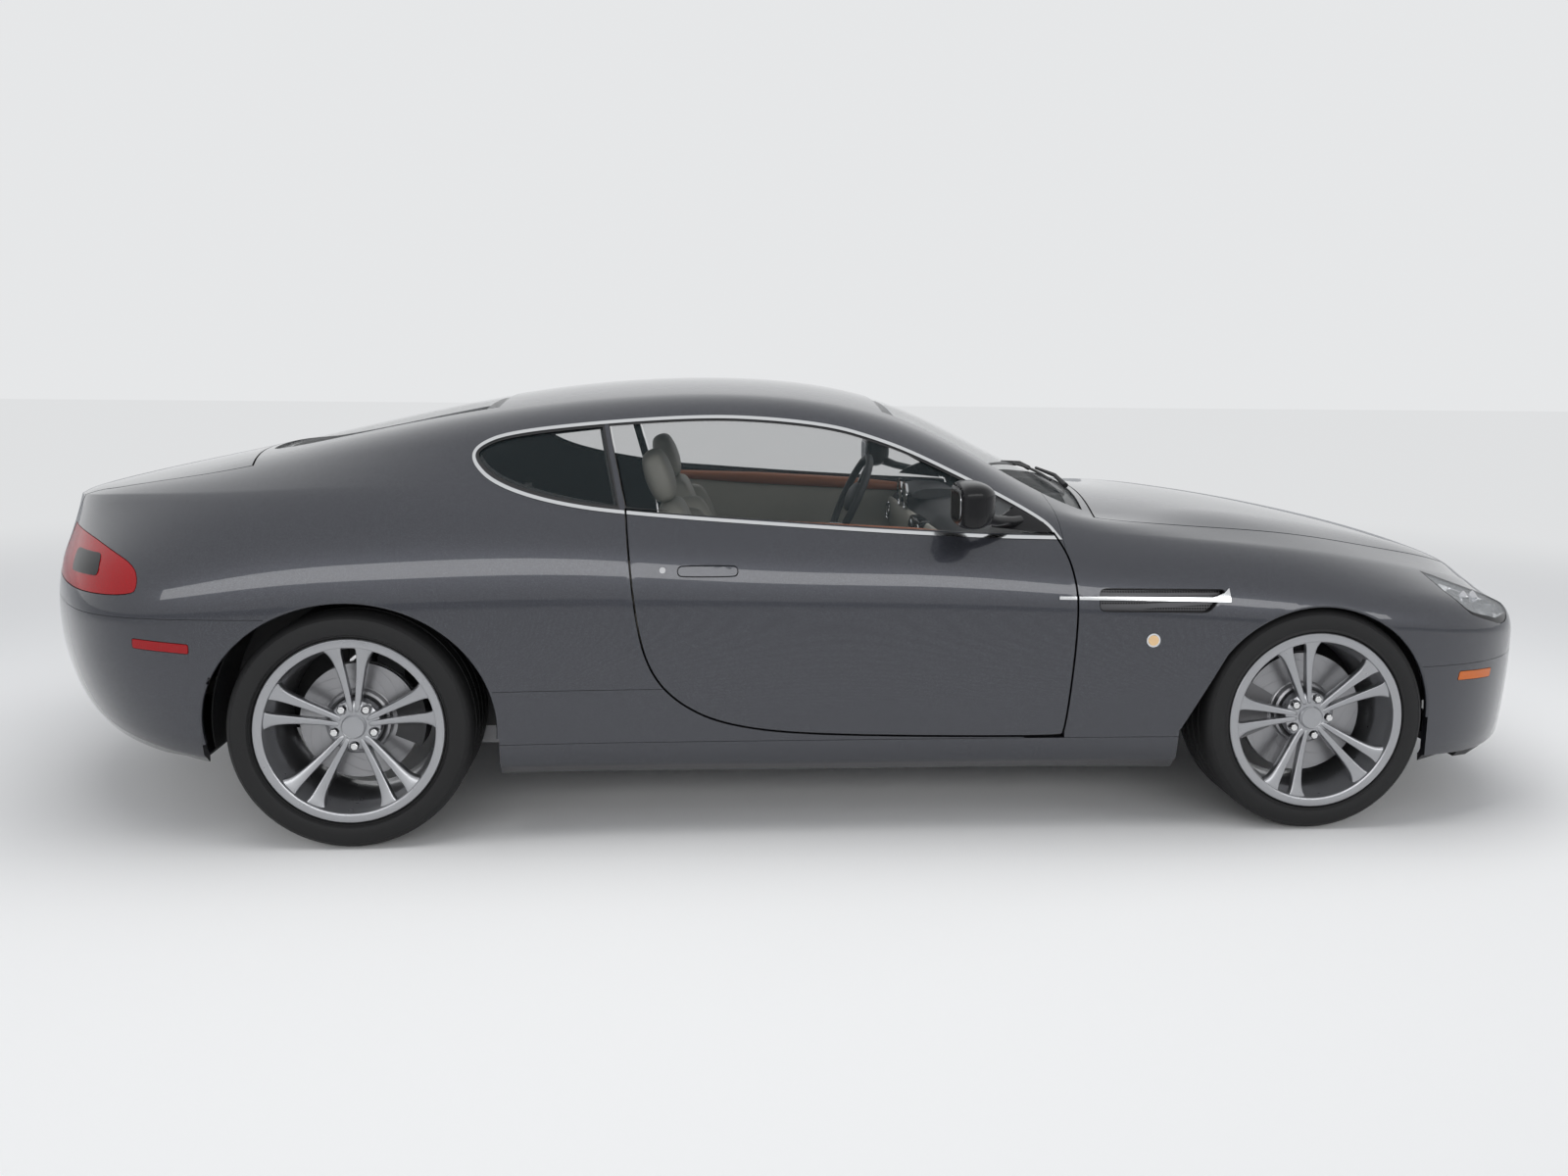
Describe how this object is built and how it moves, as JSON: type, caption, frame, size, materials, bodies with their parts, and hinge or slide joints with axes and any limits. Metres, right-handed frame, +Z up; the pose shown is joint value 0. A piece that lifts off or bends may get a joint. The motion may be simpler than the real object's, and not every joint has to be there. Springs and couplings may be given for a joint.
{
  "type": "coupe car",
  "caption": "Low two-door coupe with long bonnet, fastback roof, hinged doors, bonnet and boot lid, steered front wheels and split-spoke alloy wheels.",
  "frame": {"origin": "on the ground, under the middle of the car's length and width", "axes": "+X towards the nose, +Y to the car's left, +Z up"},
  "size_m": [4.7, 2.08, 1.292],
  "materials": {
    "paint": "metallic clear-coated",
    "dark_metal": "satin",
    "black_plastic": "grained",
    "clear_lens": "clear",
    "red_lens": "glossy",
    "amber_lens": "glossy",
    "window_glass": "tinted",
    "bright_metal": "polished",
    "cast_metal": "as cast",
    "pale_leather": "soft grain",
    "dark_leather": "soft grain",
    "engine_alloy": "as cast",
    "steel": "brushed",
    "tyre_rubber": "matt",
    "wheel_alloy": "silver lacquer",
    "disc_iron": "machined"
  },
  "bodies": {
    "car_body": {"chassis": "dark_metal", "roof_panel": "paint", "pillar_frame": "paint", "rear_quarters": "paint", "sills": "paint", "front_wings": "paint", "front_bumper": "paint", "lower_trims": "black_plastic", "rear_bumper": "paint", "headlamps": "clear_lens", "tail_lamps": "red_lens", "amber_lamps": "amber_lens", "windscreen": "window_glass", "rear_glass": "window_glass", "grilles": "bright_metal", "arch_liners": "black_plastic", "front_suspension": "cast_metal", "rear_suspension": "cast_metal", "front_seats": "pale_leather", "rear_seats": "pale_leather", "dashboard": "dark_leather", "engine": "engine_alloy", "exhaust": "steel"},
    "bonnet": {"bonnet": "paint"},
    "boot_lid": {"boot_lid": "paint"},
    "steering_wheel": {"steering_wheel": "dark_leather"},
    "door_right": {"door_right": "paint", "door_card_right": "pale_leather", "door_glass_right": "window_glass", "door_mirror_right": "black_plastic"},
    "knuckle_right": {"knuckle_right": "cast_metal"},
    "wheel_front_right": {"tyre_front_right": "tyre_rubber", "wheel_front_right": "wheel_alloy", "brake_disc_front_right": "disc_iron"},
    "wheel_rear_right": {"tyre_rear_right": "tyre_rubber", "wheel_rear_right": "wheel_alloy", "brake_disc_rear_right": "disc_iron"},
    "door_left": {"door_left": "paint", "door_card_left": "pale_leather", "door_glass_left": "window_glass", "door_mirror_left": "black_plastic"},
    "knuckle_left": {"knuckle_left": "cast_metal"},
    "wheel_front_left": {"tyre_front_left": "tyre_rubber", "wheel_front_left": "wheel_alloy", "brake_disc_front_left": "disc_iron"},
    "wheel_rear_left": {"tyre_rear_left": "tyre_rubber", "wheel_rear_left": "wheel_alloy", "brake_disc_rear_left": "disc_iron"}
  },
  "joints": [
    {"name": "door_right_hinge", "type": "hinge", "parent": "car_body", "child": "door_right", "pos_m": [0.7, -0.893, 0.6], "axis": [0, 0, 1], "range_deg": [0, 60]},
    {"name": "door_left_hinge", "type": "hinge", "parent": "car_body", "child": "door_left", "pos_m": [0.7, 0.893, 0.6], "axis": [0, 0, -1], "range_deg": [0, 60]},
    {"name": "bonnet_hinge", "type": "hinge", "parent": "car_body", "child": "bonnet", "pos_m": [0.85, 0, 0.95], "axis": [0, -1, 0], "range_deg": [0, 50]},
    {"name": "boot_lid_hinge", "type": "hinge", "parent": "car_body", "child": "boot_lid", "pos_m": [-1.64, 0, 1.045], "axis": [0, 1, 0], "range_deg": [0, 75]},
    {"name": "steer_right", "type": "hinge", "parent": "car_body", "child": "knuckle_right", "pos_m": [1.46, -0.729, 0.33], "axis": [0, 0, 1], "range_deg": [-33, 33]},
    {"name": "steer_left", "type": "hinge", "parent": "car_body", "child": "knuckle_left", "pos_m": [1.46, 0.729, 0.33], "axis": [0, 0, 1], "range_deg": [-33, 33]},
    {"name": "steering_column", "type": "hinge", "parent": "car_body", "child": "steering_wheel", "pos_m": [0.245, 0.37, 0.828], "axis": [-0.9135, 0, 0.4067], "range_deg": [-481.8, 481.8]},
    {"name": "front_wheel_spin_right", "type": "hinge", "parent": "knuckle_right", "child": "wheel_front_right", "pos_m": [1.46, -0.784, 0.33], "axis": [0, 1, 0], "continuous": true},
    {"name": "rear_wheel_spin_right", "type": "hinge", "parent": "car_body", "child": "wheel_rear_right", "pos_m": [-1.285, -0.781, 0.333], "axis": [0, 1, 0], "continuous": true},
    {"name": "front_wheel_spin_left", "type": "hinge", "parent": "knuckle_left", "child": "wheel_front_left", "pos_m": [1.46, 0.784, 0.33], "axis": [0, 1, 0], "continuous": true},
    {"name": "rear_wheel_spin_left", "type": "hinge", "parent": "car_body", "child": "wheel_rear_left", "pos_m": [-1.285, 0.781, 0.333], "axis": [0, 1, 0], "continuous": true}
  ],
  "couplings": [
    {"joint": "steer_left", "follows": "steer_right", "ratio": 1},
    {"joint": "steering_column", "follows": "steer_right", "ratio": 14.6}
  ]
}
